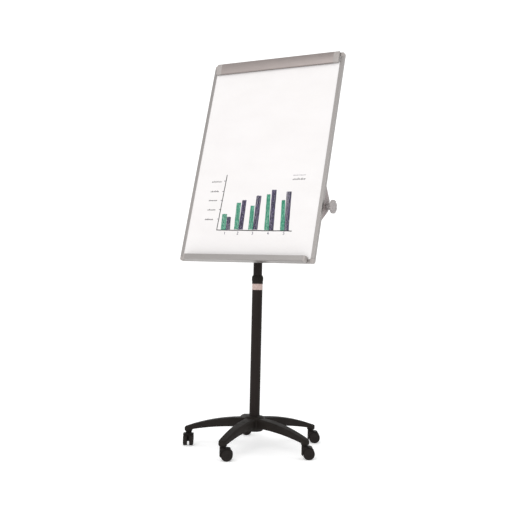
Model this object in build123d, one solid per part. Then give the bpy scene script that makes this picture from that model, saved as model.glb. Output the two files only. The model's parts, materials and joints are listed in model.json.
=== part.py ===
from build123d import *
import os
from math import acos, atan2, cos, hypot, radians, sin

# Mobile flipchart easel: a framed whiteboard that leans back on a telescopic mast, which
# stands on a five-arm base with twin-wheel casters.
# Millimetres.  X is to the right seen from the front, -Y is the front, Z is up.
# The origin is on the floor, under the axis of the mast.

# ---------------------------------------------------------------- driving dimensions
# board
BOARD_W = 700.0
BOARD_H = 1010.0
LEAN = 15.8             # degrees that the board leans back at rest
PIVOT_Z = 1110.0        # height of the tilt axis
PIVOT_BACK = 57.5       # tilt axis behind the front of the frame
PIVOT_UP = 277.0        # tilt axis above the bottom edge of the board
FRAME_FACE = 17.0       # width of the frame seen from the front
FRAME_T = 18.0          # depth of the frame
FRAME_WALL = 1.4
CORNER = 20.0           # size of the plastic corner pieces
LIP_A = 8.0             # the panel's groove starts this far in from the outer edge
LIP_T = 1.6             # front lip that holds the panel
SHEET_T = 0.6
CORE_T = 8.2
PANEL_GAP = 0.1

# clamp bar
BAR_L = 662.0
BAR_H = 54.0
BAR_T = 15.0
BAR_WALL = 1.8
BAR_CAP = 28.0          # length of each plastic end cap
HINGE_Q = 6.5           # hinge axis in front of the frame
HINGE_S = 47.0          # hinge axis above the lower edge of the bar
HINGE_R = 2.0
RAIL_T = 2.0
RAIL_S0 = 14.0
RAIL_S1 = 46.0
SLOT_S = 26.0
SLOT_H = 6.0
HOOK_X = 140.0          # paper hooks at rest, from the middle
PEG_R = 4.0

# pen tray
TRAY_L = 640.0
TRAY_CAP = 12.0
TRAY_D = 27.0
TRAY_H = 24.0
TRAY_WALL = 1.6

# tilt head
BRACKET_X = 346.0       # outer face of each side bracket
BRACKET_T = 3.0
HEAD_R = 16.0
HEAD_WALL = 2.0
PIVOT_R = 5.0
FIT = 0.06              # radial running clearance
SIDE_GAP = 0.2          # clearance between flat faces that slide on each other
KNOB_R = 31.0
KNOB_X = 376.0          # middle of the grip
KNOB_T = 14.0

# mast
LOWER_R = 24.0
LOWER_WALL = 2.0
LOWER_TOP = 780.0
UPPER_R = 20.5
UPPER_WALL = 1.8
UPPER_BOTTOM = 430.0
COLLAR_TOP = 797.0
COLLAR_SPLIT = 772.0    # the turning collar ends here, the ferrule goes on below
FERRULE_BOTTOM = 758.0
LABEL_BOTTOM = 730.0

# base
BASE_TURN = 4.3         # the base stands turned by this much under the board, degrees
ARM_COUNT = 5
STEM_RADIUS = 308.0     # mast axis to caster stems
HUB_R = 49.0
HUB_TOP = 148.0
HUB_BOTTOM = 80.0
SOCKET_FLOOR = 96.0     # the mast tube stands on this
ARM_TOP = 140.2         # crest of an arm, at ARM_TOP_R from the axis
ARM_TOP_R = 30.0
ARM_TOP_ARC = 770.0     # radius of the crest seen from the side
ARM_LOW = 98.4
ARM_LOW_R = 60.0
ARM_LOW_ARC = 1100.0
ARM_W_HUB = 27.0        # half width of an arm at the mast axis
ARM_W_TIP = 19.5        # half width, and radius of the rounded tip
ARM_WALL = 3.6
KNUCKLE_Z = 63.0        # underside of the caster sockets
STEM_R = 5.5
STEM_TOP = 82.0

# casters
WHEEL_R = 26.0
WHEEL_W = 18.0
WHEEL_GAP = 11.0
TRAIL = 18.0            # stem axis to axle
AXLE_R = 3.0
HOOD_TOP = 61.0
HOOD_R = 30.0
HOOD_IN = 27.0
STEM_BOTTOM = 46.5
# directions in which the casters trail at rest, arm by arm
CASTER_HEADINGS = (30.0, 30.0, 30.0, 30.0, -60.0)

# ---------------------------------------------------------------- derived places
FRONT = -PIVOT_BACK                     # front of the frame, in board axes
BOTTOM = -PIVOT_UP                      # bottom edge of the board, in board axes
TOP = BOTTOM + BOARD_H
HALF_W = BOARD_W / 2
BAR_Z = TOP - BAR_H
HINGE_Y = FRONT - HINGE_Q
HINGE_Z = BAR_Z + HINGE_S
PANEL_Y = FRONT + LIP_T + PANEL_GAP     # front of the white sheet
BRACKET_IN = BRACKET_X - BRACKET_T
WASHER_T = 1.5
HEAD_HALF = BRACKET_IN - SIDE_GAP - WASHER_T
ARM_ANGLES = [270.0 + BASE_TURN + 72.0 * k for k in range(ARM_COUNT)]

MIN = Align.MIN
MID = Align.CENTER
MAX = Align.MAX


# ---------------------------------------------------------------- helpers
def block(x0, x1, y0, y1, z0, z1):
    """A box given by its limits."""
    size = Box(x1 - x0, y1 - y0, z1 - z0)
    return Pos((x0 + x1) / 2, (y0 + y1) / 2, (z0 + z1) / 2) * size


def rod(radius, z0, z1, x=0.0, y=0.0):
    """A round bar along Z."""
    return Pos(x, y, z0) * Cylinder(radius, z1 - z0, align=(MID, MID, MIN))


def rod_x(radius, x0, x1, y=0.0, z=0.0):
    """A round bar along X."""
    return Pos(x0, y, z) * Rot(0, 90, 0) * Cylinder(radius, x1 - x0, align=(MID, MID, MIN))


def rod_y(radius, y0, y1, x=0.0, z=0.0):
    """A round bar along Y."""
    return Pos(x, y0, z) * Rot(-90, 0, 0) * Cylinder(radius, y1 - y0, align=(MID, MID, MIN))


def tube(r_out, r_in, z0, z1):
    return rod(r_out, z0, z1) - rod(r_in, z0, z1)


def turned(points):
    """A solid turned about Z from an outline of (radius, z) points."""
    outline = Plane.XZ * Polyline(*points, close=True)
    return revolve(make_face(outline), Axis.Z)


def tapered(x0, y0, r0, x1, y1, r1):
    """Sketch of two circles joined by their common tangents."""
    along = atan2(y1 - y0, x1 - x0)
    spread = acos((r0 - r1) / hypot(x1 - x0, y1 - y0))
    corners = []
    for x, y, r, turn in ((x0, y0, r0, 1), (x1, y1, r1, 1), (x1, y1, r1, -1), (x0, y0, r0, -1)):
        a = along + turn * spread
        corners.append((x + r * cos(a), y + r * sin(a)))
    flanks = make_face(Polyline(*corners, close=True))
    return flanks + Pos(x0, y0) * Circle(r0) + Pos(x1, y1) * Circle(r1)


def bar_along_x(face, x0, x1):
    """Extrudes a face drawn on the YZ plane from x0 to x1."""
    return Pos(x0, 0, 0) * extrude(face, x1 - x0, dir=(1, 0, 0))


def yz_face(*edges):
    return make_face(Plane.YZ * (Curve() + list(edges)))


def qs(q, s, base=BAR_Z):
    """Board-axes (y, z) of a point q in front of the frame and s above base."""
    return (FRONT - q, base + s)


def leaned(shape):
    """Takes a shape from board axes, with the tilt axis at the origin, to its place."""
    return Pos(0, 0, PIVOT_Z) * Rot(-LEAN, 0, 0) * shape


def both_sides(shape):
    """The shape and its mirror image across the middle plane."""
    return [shape, mirror(shape, Plane.YZ)]


def save(name, shape):
    """Writes one node, whether it is one solid or a group of them."""
    if isinstance(shape, (list, tuple)):
        solids = [solid for item in shape for solid in item.solids()]
    else:
        solids = list(shape.solids())
    body = solids[0] if len(solids) == 1 else Compound(children=solids)
    export_step(body, f"parts/{name}.step")


# ---------------------------------------------------------------- board: frame and panel
def frame_bar(length):
    """One hollow frame extrusion along Z, outer edge at x = 0, front at y = 0."""
    outer = Pos(FRAME_FACE / 2, FRAME_T / 2) * RectangleRounded(FRAME_FACE, FRAME_T, 1.2)
    groove_d = SHEET_T * 2 + CORE_T + PANEL_GAP * 2
    groove = Pos(LIP_A, LIP_T) * Rectangle(FRAME_FACE, groove_d, align=(MIN, MIN))
    chamber = Pos(FRAME_WALL, FRAME_WALL) * Rectangle(
        LIP_A - 2 * FRAME_WALL, FRAME_T - 2 * FRAME_WALL, align=(MIN, MIN)
    )
    rear_y = LIP_T + groove_d + FRAME_WALL
    rear = Pos(LIP_A, rear_y) * Rectangle(
        FRAME_FACE - LIP_A - FRAME_WALL, FRAME_T - FRAME_WALL - rear_y, align=(MIN, MIN)
    )
    return extrude(outer - groove - chamber - rear, length)


def frame_sides():
    """Left, right, bottom and top extrusions, each stopping at the corner pieces."""
    upright = Pos(-HALF_W, FRONT, BOTTOM + CORNER) * frame_bar(BOARD_H - 2 * CORNER)
    for z in BRACKET_SCREWS:
        back = FRONT + FRAME_T
        upright -= rod_y(SCREW_R + 0.05, back - 3, back + 1, -BRACKET_SCREW_X, z)
    span = frame_bar(BOARD_W - 2 * CORNER)
    low = Pos(HALF_W - CORNER, FRONT, BOTTOM) * Rot(0, -90, 0) * span
    high = Pos(CORNER - HALF_W, FRONT, TOP) * Rot(0, 90, 0) * span
    return upright, mirror(upright, Plane.YZ), low, high


def corner_piece():
    """Bottom left corner moulding: a rounded block with a tongue into each extrusion."""
    body = block(0, CORNER, 0, FRAME_T, 0, CORNER)
    upright = body.edges().filter_by(Axis.Y).sort_by(lambda e: e.center().X + e.center().Z)[0]
    body = fillet(upright, CORNER / 2)
    front = body.faces().sort_by(Axis.Y)[0]
    body = chamfer(front.edges(), 1.0)
    groove_d = SHEET_T * 2 + CORE_T + PANEL_GAP * 2
    body -= block(LIP_A, CORNER, LIP_T, LIP_T + groove_d, LIP_A, CORNER)
    play = 0.1
    low = FRAME_WALL + play
    high = LIP_A - FRAME_WALL - play
    deep = FRAME_T - FRAME_WALL - play
    body += block(low, high, low, deep, CORNER - 2, CORNER + 18)
    body += block(CORNER - 2, CORNER + 18, low, deep, low, high)
    return Pos(-HALF_W, FRONT, BOTTOM) * body


def corner_pieces():
    low = both_sides(corner_piece())
    middle = Plane((0, 0, BOTTOM + BOARD_H / 2), z_dir=(0, 0, 1))
    return low + [mirror(piece, middle) for piece in low]


def panel_layer(y0, thickness):
    """One layer of the panel, which sits in the frame's groove all round."""
    side = HALF_W - LIP_A - 0.4
    low = BOTTOM + LIP_A + 0.4
    return block(-side, side, y0, y0 + thickness, low, TOP - LIP_A - 0.4)


# ---------------------------------------------------------------- board: clamp and hooks
def bar_outline(inset=0.0):
    """Front, top and bottom of the clamp bar's section, as edges from low to high."""
    crown = BAR_T - inset
    shoulder = 12.0 - inset * 1.1
    front = ThreePointArc(
        qs(shoulder, inset), qs(crown, BAR_H / 2), qs(shoulder, BAR_H - inset)
    )
    return front, shoulder


def bar_section():
    """Open C of the clamp bar, with a channel for the grip strip along its lower edge."""
    outer, shoulder = bar_outline()
    inner, inner_shoulder = bar_outline(BAR_WALL)
    top_back = 4.0
    low_back = 3.0
    edges = (
        outer,
        Line(qs(shoulder, BAR_H), qs(top_back, BAR_H)),
        Line(qs(top_back, BAR_H), qs(top_back, BAR_H - BAR_WALL)),
        Line(qs(top_back, BAR_H - BAR_WALL), qs(inner_shoulder, BAR_H - BAR_WALL)),
        inner,
        Line(qs(inner_shoulder, BAR_WALL), qs(low_back, BAR_WALL)),
        Line(qs(low_back, BAR_WALL), qs(low_back, 0)),
        Line(qs(low_back, 0), qs(shoulder, 0)),
    )
    return yz_face(*edges)


def rect_qs(q0, q1, s0, s1, x0, x1, base=BAR_Z):
    """A box given in front-of-frame and above-base distances."""
    return block(x0, x1, FRONT - q1, FRONT - q0, base + s0, base + s1)


def clamp_bar():
    """Extruded aluminium bar between the end caps."""
    half = BAR_L / 2 - BAR_CAP
    bar = bar_along_x(bar_section(), -half, half)
    bar += rect_qs(5.6, 7.0, BAR_WALL, 8.0, -half, half)
    bar += rect_qs(3.0, 7.0, 6.4, 8.0, -half, half)
    return bar


def clamp_end_cap():
    """Right end cap: the bar's shape with a closed end and a blind bore for the pin."""
    half = BAR_L / 2
    start = half - BAR_CAP
    wall = 4.0
    outer, shoulder = bar_outline()
    closed = yz_face(
        outer,
        Line(qs(shoulder, BAR_H), qs(4.0, BAR_H)),
        Line(qs(4.0, BAR_H), qs(3.0, 0)),
        Line(qs(3.0, 0), qs(shoulder, 0)),
    )
    cap = bar_along_x(bar_section(), start, half - wall)
    cap += bar_along_x(closed, half - wall, half)
    rim = cap.faces().sort_by(Axis.X)[-1].edges()
    cap = chamfer(rim, 1.2)
    sleeve_t = 1.2
    sleeve = yz_face(
        bar_outline(BAR_WALL)[0],
        Line(qs(*shoulder_point(0, True)), qs(*shoulder_point(sleeve_t, True))),
        bar_outline(BAR_WALL + sleeve_t)[0],
        Line(qs(*shoulder_point(sleeve_t, False)), qs(*shoulder_point(0, False))),
    )
    cap += bar_along_x(sleeve, start - 14, start + 1)
    cap -= rod_x(HINGE_R + FIT, half - wall - 1, half - 0.8, HINGE_Y, HINGE_Z)
    return cap


def shoulder_point(extra, upper):
    """End point of the bar's inner front arc, moved in by a further amount."""
    inset = BAR_WALL + extra
    return (12.0 - inset * 1.1, BAR_H - inset if upper else inset)


def grip_strip():
    """Rubber strip that presses the paper on to the board."""
    half = BAR_L / 2 - BAR_CAP - 1
    return rect_qs(-1.3, 5.5, 1.9, 6.3, -half, half)


def clamp_rail():
    """Fixed rail behind the bar, with two slots for the hooks and an ear at each end."""
    half = BAR_L / 2 - 12.5
    ear_t = 3.5
    rail = rect_qs(0, RAIL_T, RAIL_S0, RAIL_S1, -half, half)
    slot_in = 95.0
    slot_out = 285.0
    for side in (-1, 1):
        x0, x1 = sorted((side * slot_in, side * slot_out))
        rail -= rect_qs(-1, 5, SLOT_S - SLOT_H / 2, SLOT_S + SLOT_H / 2, x0, x1)
        ear = tapered(*qs(HINGE_Q, HINGE_S), 4.5, *qs(2.5, RAIL_S1 - 12), 2.5)
        x_in = half - ear_t if side > 0 else -half
        rail += bar_along_x(Plane.YZ * ear, x_in, x_in + ear_t)
    rail -= rod_x(HINGE_R, -half - 1, half + 1, HINGE_Y, HINGE_Z)
    for x, z in RAIL_SCREWS:
        rail -= rod_y(SCREW_R + 0.05, FRONT - 5, FRONT + 1, x, z)
    return rail


def hinge_pins():
    """One pin at each end, fixed in the rail's ear and turning in the end cap."""
    end = BAR_L / 2 - 1.0
    pin = rod_x(HINGE_R, end - 26, end, HINGE_Y, HINGE_Z)
    return both_sides(pin)


def clamp_spring():
    """Right torsion spring: four turns, a leg down to the rail and a leg up to the bar."""
    wire = 0.7
    mean = 3.4
    pitch = 1.7
    turns = 4.0
    start = BAR_L / 2 - 25.0
    path = Pos(start, HINGE_Y, HINGE_Z) * Rot(0, 90, 0) * Helix(pitch, pitch * turns, mean)
    begin = path @ 0
    heading = path % 0
    coil = sweep(Plane(begin, z_dir=heading) * Circle(wire), path)
    front_y = HINGE_Y - mean
    back_y = HINGE_Y + mean
    down = rod(wire, HINGE_Z - 20, HINGE_Z, start, back_y)
    up = rod(wire, HINGE_Z, HINGE_Z + 3.4, start + pitch * turns, front_y)
    return coil, down, up


def paper_hook(x):
    """Sliding hook: a flange behind the rail, a neck in the slot and a peg in front."""
    y, z = qs(0, SLOT_S)
    hook = rect_qs(-1.4, -0.15, SLOT_S - 6, SLOT_S + 6, x - 7, x + 7)
    hook += rect_qs(-0.2, 2.2, SLOT_S - 2.85, SLOT_S + 2.85, x - 4.5, x + 4.5)
    hook += rod_y(7.0, y - 3.6, y - 2.15, x, z)
    peg = rod_y(PEG_R, y - 12.0, y - 3.0, x, z)
    tip = peg.faces().sort_by(Axis.Y)[0].edges()
    return hook + chamfer(tip, 0.8)


# ---------------------------------------------------------------- board: pen tray
def pen_tray():
    """Extruded trough along the bottom edge, open at the top."""
    half = TRAY_L / 2 - TRAY_CAP
    outer = rect_qs(0, TRAY_D, 0, TRAY_H, -half, half, BOTTOM)
    inner = rect_qs(
        TRAY_WALL, TRAY_D - TRAY_WALL, TRAY_WALL, TRAY_H + 5, -half - 1, half + 1, BOTTOM
    )
    lower_front = outer.edges().filter_by(Axis.X).sort_by(lambda e: e.center().Y + e.center().Z)
    outer = fillet(lower_front[0], 7.0)
    inner_low = inner.edges().filter_by(Axis.X).sort_by(lambda e: e.center().Y + e.center().Z)
    inner = fillet(inner_low[0], 5.4)
    tray = outer - inner
    tray -= rect_qs(-1, TRAY_WALL, 22, TRAY_H + 1, -half - 1, half + 1, BOTTOM)
    bead = rod_x(1.6, -half, half, FRONT - TRAY_D + 1.6, BOTTOM + TRAY_H)
    tray += bead
    for x, z in TRAY_SCREWS:
        tray -= rod_y(SCREW_R + 0.05, FRONT - 5, FRONT + 1, x, z)
    return tray


def tray_end_cap():
    """Right end cap: closes the trough with a rounded end."""
    end = TRAY_L / 2
    cap = rect_qs(0, TRAY_D, 0, TRAY_H + 1.6, end - TRAY_CAP, end, BOTTOM)
    low = cap.edges().filter_by(Axis.X).sort_by(lambda e: e.center().Y + e.center().Z)[0]
    cap = fillet(low, 7.0)
    outer_front = cap.faces().sort_by(Axis.X)[-1].edges().sort_by(Axis.Y)[0]
    cap = fillet(outer_front, 8.0)
    cap += rect_qs(2, TRAY_D - 2, 2, TRAY_H - 8, end - TRAY_CAP - 3, end - TRAY_CAP, BOTTOM) - rod_x(
        5.4, end - TRAY_CAP - 4, end, FRONT - TRAY_D, BOTTOM
    )
    return cap


# ---------------------------------------------------------------- board: brackets and screws
SCREW_R = 2.0
RAIL_SCREWS = [(x, BAR_Z + 41.5) for x in (-290.0, -60.0, 60.0, 290.0)]
TRAY_SCREWS = [(x, BOTTOM + 12.5) for x in (-280.0, -95.0, 95.0, 280.0)]
BRACKET_LOW = -83.0
BRACKET_HIGH = 92.0
FLANGE_W = 11.5
FLANGE_T = 2.5
BRACKET_SCREW_X = BRACKET_IN - 4.5
BRACKET_SCREWS = (-70.0, -30.0, 40.0, 80.0)


def tilt_bracket():
    """Right bracket: a trapezoid plate behind the frame's side, with a screwed flange."""
    back = FRONT + FRAME_T
    rear = 19.5
    plate = Polyline(
        (back, BRACKET_LOW), (back, BRACKET_HIGH), (rear, 34), (rear, -14), close=True
    )
    face = make_face(Plane.YZ * plate)
    bracket = bar_along_x(face, BRACKET_IN, BRACKET_X)
    corners = bracket.edges().filter_by(Axis.X).sort_by(Axis.Y)[-2:]
    bracket = fillet(corners, 9.0)
    flange_in = BRACKET_IN - FLANGE_W
    bracket += block(flange_in, BRACKET_IN, back, back + FLANGE_T, BRACKET_LOW, BRACKET_HIGH)
    for z in BRACKET_SCREWS:
        bracket -= rod_y(SCREW_R + 0.05, back - 1, back + FLANGE_T + 1, BRACKET_SCREW_X, z)
    return bracket - rod_x(PIVOT_R + FIT, BRACKET_IN - 1, BRACKET_X + 1)


def pan_screw(length):
    """Pan-head screw along +Y, its head's underside at y = 0 and its head towards -Y."""
    head = rod_y(3.6, -2.2, 0)
    head = chamfer(head.faces().sort_by(Axis.Y)[0].edges(), 0.9)
    return head + rod_y(SCREW_R, 0, length)


def board_screws():
    short = pan_screw(RAIL_T + LIP_T)
    screws = [Pos(x, FRONT - RAIL_T, z) * short for x, z in RAIL_SCREWS]
    short = pan_screw(TRAY_WALL + LIP_T)
    screws += [Pos(x, FRONT - TRAY_WALL, z) * short for x, z in TRAY_SCREWS]
    back = FRONT + FRAME_T + FLANGE_T
    turned_round = Rot(0, 0, 180) * pan_screw(FLANGE_T + 3.0)
    for z in BRACKET_SCREWS:
        screws += both_sides(Pos(BRACKET_SCREW_X, back, z) * turned_round)
    return screws


# ---------------------------------------------------------------- tilt head
def upper_mast():
    """Inner tube of the mast, its top end coped to the round of the cross tube."""
    mast = tube(UPPER_R, UPPER_R - UPPER_WALL, UPPER_BOTTOM, PIVOT_Z)
    mast -= rod_x(HEAD_R, -40, 40, 0, PIVOT_Z)
    return mast


def head_tube():
    """Cross tube on the tilt axis, welded to the top of the mast."""
    outer = rod_x(HEAD_R, -HEAD_HALF, HEAD_HALF, 0, PIVOT_Z)
    return outer - rod_x(HEAD_R - HEAD_WALL, -HEAD_HALF, HEAD_HALF, 0, PIVOT_Z)


def tube_plugs():
    """A threaded plug in each end of the cross tube."""
    inner = HEAD_R - HEAD_WALL
    right = rod_x(inner, HEAD_HALF - 25, HEAD_HALF, 0, PIVOT_Z)
    right -= rod_x(PIVOT_R + FIT, HEAD_HALF - 26, HEAD_HALF + 1, 0, PIVOT_Z)
    left = rod_x(inner, -HEAD_HALF, 25 - HEAD_HALF, 0, PIVOT_Z)
    left -= rod_x(PIVOT_R, -HEAD_HALF - 1, 26 - HEAD_HALF, 0, PIVOT_Z)
    return [left, right]


def friction_washers():
    """A friction washer between each tube end and its bracket."""
    ring = rod_x(HEAD_R, HEAD_HALF, HEAD_HALF + WASHER_T, 0, PIVOT_Z)
    ring -= rod_x(PIVOT_R + 0.3, HEAD_HALF - 1, HEAD_HALF + WASHER_T + 1, 0, PIVOT_Z)
    return both_sides(ring)


def along_x(shape, x, side=1):
    """Takes a shape turned about Z to the tilt axis, pointing to +X or -X."""
    return Pos(side * x, 0, PIVOT_Z) * Rot(0, 90 * side, 0) * shape


def pivot_bolt():
    """Left pivot: a domed bolt that the bracket turns on."""
    head = turned([(0, 0), (11, 0), (11, 2.5), (8.5, 5.5), (4.5, 7), (0, 7)])
    shank = rod(PIVOT_R, -30, 0)
    return along_x(head + shank, BRACKET_X + SIDE_GAP, -1)


def tilt_knob():
    """Hand knob on the right: a conical hub and a scalloped grip."""
    near = BRACKET_X + SIDE_GAP
    length = KNOB_X + KNOB_T / 2 - near
    grip = length - KNOB_T
    knob = turned([
        (0, 0), (13, 0), (15, grip - 3), (KNOB_R - 3, grip), (KNOB_R, grip + 3),
        (KNOB_R, length - 3), (KNOB_R - 3, length), (KNOB_R - 9, length),
        (KNOB_R - 11, length - 2), (0, length - 2),
    ])
    for k in range(8):
        knob -= Rot(0, 0, 45 * k) * rod(10, grip - 1, length + 1, KNOB_R + 7)
    knob -= rod(PIVOT_R, -1, length - 6)
    return along_x(knob, near)


def tilt_knob_stud():
    near = BRACKET_X + SIDE_GAP
    far = KNOB_X + KNOB_T / 2 - 6
    stud = rod_x(PIVOT_R, HEAD_HALF - 22, far, 0, PIVOT_Z)
    return stud if far > near else None


# ---------------------------------------------------------------- mast
def lower_mast():
    """Outer tube of the mast, from the socket in the base up to the lock."""
    return tube(LOWER_R, LOWER_R - LOWER_WALL, SOCKET_FLOOR, LOWER_TOP)


def foot_plug():
    """Threaded plug in the foot of the outer tube."""
    inner = LOWER_R - LOWER_WALL
    return rod(inner, SOCKET_FLOOR, SOCKET_FLOOR + 24) - rod(BOLT_R, SOCKET_FLOOR - 1, 125)


def glide_bush():
    """Plastic bush on the foot of the inner tube, sliding inside the outer tube."""
    bore = LOWER_R - LOWER_WALL
    return turned([
        (UPPER_R, UPPER_BOTTOM - 0.01 + 0.01), (bore - FIT, UPPER_BOTTOM + 1),
        (bore - FIT, UPPER_BOTTOM + 39), (UPPER_R, UPPER_BOTTOM + 40),
    ])


def mast_ferrule():
    """Ring fixed on the top of the outer tube, with a threaded neck for the collar."""
    return turned([
        (LOWER_R, FERRULE_BOTTOM), (25.3, FERRULE_BOTTOM), (25.3, COLLAR_SPLIT - 0.3),
        (24.9, COLLAR_SPLIT - 0.3), (24.9, LOWER_TOP), (LOWER_R, LOWER_TOP),
    ])


def clamp_bush():
    """Slit tapered bush that the collar closes on the inner tube."""
    bush = turned([
        (UPPER_R + FIT, LOWER_TOP - 18), (LOWER_R - LOWER_WALL, LOWER_TOP - 18),
        (LOWER_R - LOWER_WALL, LOWER_TOP), (LOWER_R - 0.4, LOWER_TOP),
        (LOWER_R - 0.4, LOWER_TOP + 5), (UPPER_R + 1.0, LOWER_TOP + 13),
        (UPPER_R + FIT, LOWER_TOP + 13),
    ])
    for k in range(4):
        bush -= Rot(0, 0, 45 + 90 * k) * block(15, 30, -0.8, 0.8, LOWER_TOP + 1, LOWER_TOP + 20)
    return bush


def lock_collar():
    """Turning collar that locks the height: chamfered top and shallow grip flutes."""
    collar = turned([
        (25.2, COLLAR_SPLIT), (26.5, COLLAR_SPLIT), (26.5, COLLAR_TOP - 9),
        (22.5, COLLAR_TOP), (UPPER_R + 0.4, COLLAR_TOP), (UPPER_R + 0.4, COLLAR_TOP - 2),
        (25.2, LOWER_TOP + 6),
    ])
    for k in range(20):
        flute = rod(2.0, COLLAR_SPLIT + 3, COLLAR_TOP - 11, 26.5 + 1.4)
        collar -= Rot(0, 0, 18 * k) * flute
    return collar


def label_band():
    """Plain pale band round the outer tube, under the ferrule."""
    return tube(LOWER_R + 0.3, LOWER_R, LABEL_BOTTOM, FERRULE_BOTTOM)


# ---------------------------------------------------------------- base
BOLT_R = 6.0


def arc_height(r, crest, crest_r, arc_r):
    """Height of an arm's crest or underside at a distance from the axis."""
    return crest - (r - crest_r) ** 2 / (2 * arc_r)


def arm_top(r):
    return arc_height(r, ARM_TOP, ARM_TOP_R, ARM_TOP_ARC)


def arm_low(r):
    return arc_height(r, ARM_LOW, ARM_LOW_R, ARM_LOW_ARC)


def arm_side(drop, low_drop, reach):
    """Side outline of an arm between two arcs, drawn on the XZ plane."""
    stations = (10.0, reach / 2, reach)
    crest = ThreePointArc(*[(r, arm_top(r) - drop) for r in stations])
    belly = ThreePointArc(*[(r, arm_low(r) - low_drop) for r in stations])
    edges = [crest, Line(crest @ 1, belly @ 1), belly, Line(belly @ 0, crest @ 0)]
    return make_face(Plane.XZ * (Curve() + edges))


def arm_plan(inset):
    """Plan outline of an arm: two circles and their common tangents."""
    return tapered(0, 0, ARM_W_HUB - inset, STEM_RADIUS, 0, ARM_W_TIP - inset)


def arm_blank(inset, drop, low_drop):
    """Where an arm's side outline and plan outline meet."""
    side = extrude(arm_side(drop, low_drop, STEM_RADIUS + 30), 60, both=True)
    plan = extrude(arm_plan(inset), 300, dir=(0, 0, 1))
    return side & plan


def base_arm():
    """One arched arm with rounded crest edges, hollow and ribbed underneath."""
    blank = arm_blank(0, 0, 0)
    crest = blank.faces().sort_by(lambda f: -f.center().Z)[0]
    blank = fillet(crest.edges().filter_by(lambda e: e.center().X > 20), 7.0)
    hollow = arm_blank(ARM_WALL, ARM_WALL, 60)
    arm = blank - (hollow - rod(HUB_R - 8, 0, 300))
    spine = arm_blank(ARM_WALL - 1, 2, -3)
    ribs = block(30, STEM_RADIUS, -1.3, 1.3, 40, 200)
    for x in (95, 145, 195, 245):
        ribs += block(x - 1.3, x + 1.3, -30, 30, 40, 200)
    arm += spine & ribs
    socket = turned([
        (0, KNUCKLE_Z), (11.5, KNUCKLE_Z), (12.5, KNUCKLE_Z + 8),
        (12.5, arm_top(STEM_RADIUS) - 3), (0, arm_top(STEM_RADIUS) - 3),
    ])
    arm += Pos(STEM_RADIUS, 0, 0) * socket
    return arm - rod(STEM_R + 0.03, KNUCKLE_Z - 1, STEM_TOP + 0.4, STEM_RADIUS)


def star_base():
    """Five-arm base in one moulding, with a socket for the mast in its hub."""
    hub = turned([
        (0, HUB_BOTTOM + 6), (30, HUB_BOTTOM), (38, HUB_BOTTOM), (HUB_R, HUB_BOTTOM + 14),
        (HUB_R, HUB_TOP - 9), (40, HUB_TOP - 2), (31, HUB_TOP), (0, HUB_TOP),
    ])
    base = hub
    arm = base_arm()
    for angle in ARM_ANGLES:
        base += Rot(0, 0, angle) * arm
    base -= rod(LOWER_R + 0.03, SOCKET_FLOOR, HUB_TOP + 10)
    base -= rod(BOLT_R + 0.3, 0, SOCKET_FLOOR + 1)
    base -= rod(15, 0, HUB_BOTTOM + 8)
    return base


def base_bolt():
    """Flanged bolt up through the hub into the foot plug."""
    seat = HUB_BOTTOM + 8
    flange = rod(13, seat - 2, seat)
    head = Pos(0, 0, seat - 9) * extrude(RegularPolygon(10.4, 6), 8)
    return flange + head + rod(BOLT_R, seat, SOCKET_FLOOR + 22)


def stem_place(k):
    """Stem axis of caster k, and the turn that points it along its heading."""
    a = radians(ARM_ANGLES[k])
    return Pos(STEM_RADIUS * cos(a), STEM_RADIUS * sin(a), 0)


def caster_stems():
    """Steel stems, fixed in the sockets of the arms."""
    stem = rod(STEM_R, STEM_BOTTOM, STEM_TOP)
    ring = turned([
        (0, HOOD_TOP + 0.4), (8.5, HOOD_TOP + 0.4), (8.5, KNUCKLE_Z), (0, KNUCKLE_Z),
    ])
    return [stem_place(k) * (stem + ring) for k in range(ARM_COUNT)]


# ---------------------------------------------------------------- casters
def sector(radius, start, end, half_width):
    """Slice of a cylinder about the axle, between two angles from the trailing side."""
    steps = 4
    rim = []
    for i in range(steps + 1):
        a = radians(start + (end - start) * i / steps)
        rim.append((TRAIL + radius * cos(a), WHEEL_R + radius * sin(a)))
    outline = Polyline((TRAIL, WHEEL_R), *rim, close=True)
    return extrude(make_face(Plane.XZ * outline), half_width, both=True)


def caster_hood():
    """Hood of a twin-wheel caster: stem boss, web between the wheels and fender."""
    half = WHEEL_GAP / 2 + WHEEL_W
    shell = rod_y(HOOD_R, -half, half, TRAIL, WHEEL_R)
    shell = shell & sector(60, 58, 196, 60)
    boss = rod(9.5, WHEEL_R, HOOD_TOP)
    web = extrude(Plane.XZ * tapered(TRAIL, WHEEL_R, 8, 1, 46, 10), half, both=True)
    hood = shell + boss + web
    for side in (-1, 1):
        y0, y1 = sorted((side * (WHEEL_GAP / 2 - 0.5), side * 60))
        hood -= rod_y(HOOD_IN, y0, y1, TRAIL, WHEEL_R)
    hood -= rod(STEM_R + FIT, STEM_BOTTOM - 0.3, HOOD_TOP + 1)
    return hood - rod_y(AXLE_R, -20, 20, TRAIL, WHEEL_R)


def caster_axle():
    """Steel axle fixed in the hood's web."""
    half = WHEEL_GAP / 2 + WHEEL_W - 4
    return rod_y(AXLE_R, -half, half, TRAIL, WHEEL_R)


def caster_wheel():
    """Wheel on the +Y side, chamfered on its outer edge and closed over the axle."""
    y0 = WHEEL_GAP / 2
    y1 = y0 + WHEEL_W
    wheel = rod_y(WHEEL_R, y0, y1, TRAIL, WHEEL_R)
    wheel = chamfer(wheel.faces().sort_by(Axis.Y)[-1].edges(), 2.5)
    return wheel - rod_y(AXLE_R + FIT, y0 - 1, y1 - 3.5, TRAIL, WHEEL_R)


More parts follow.
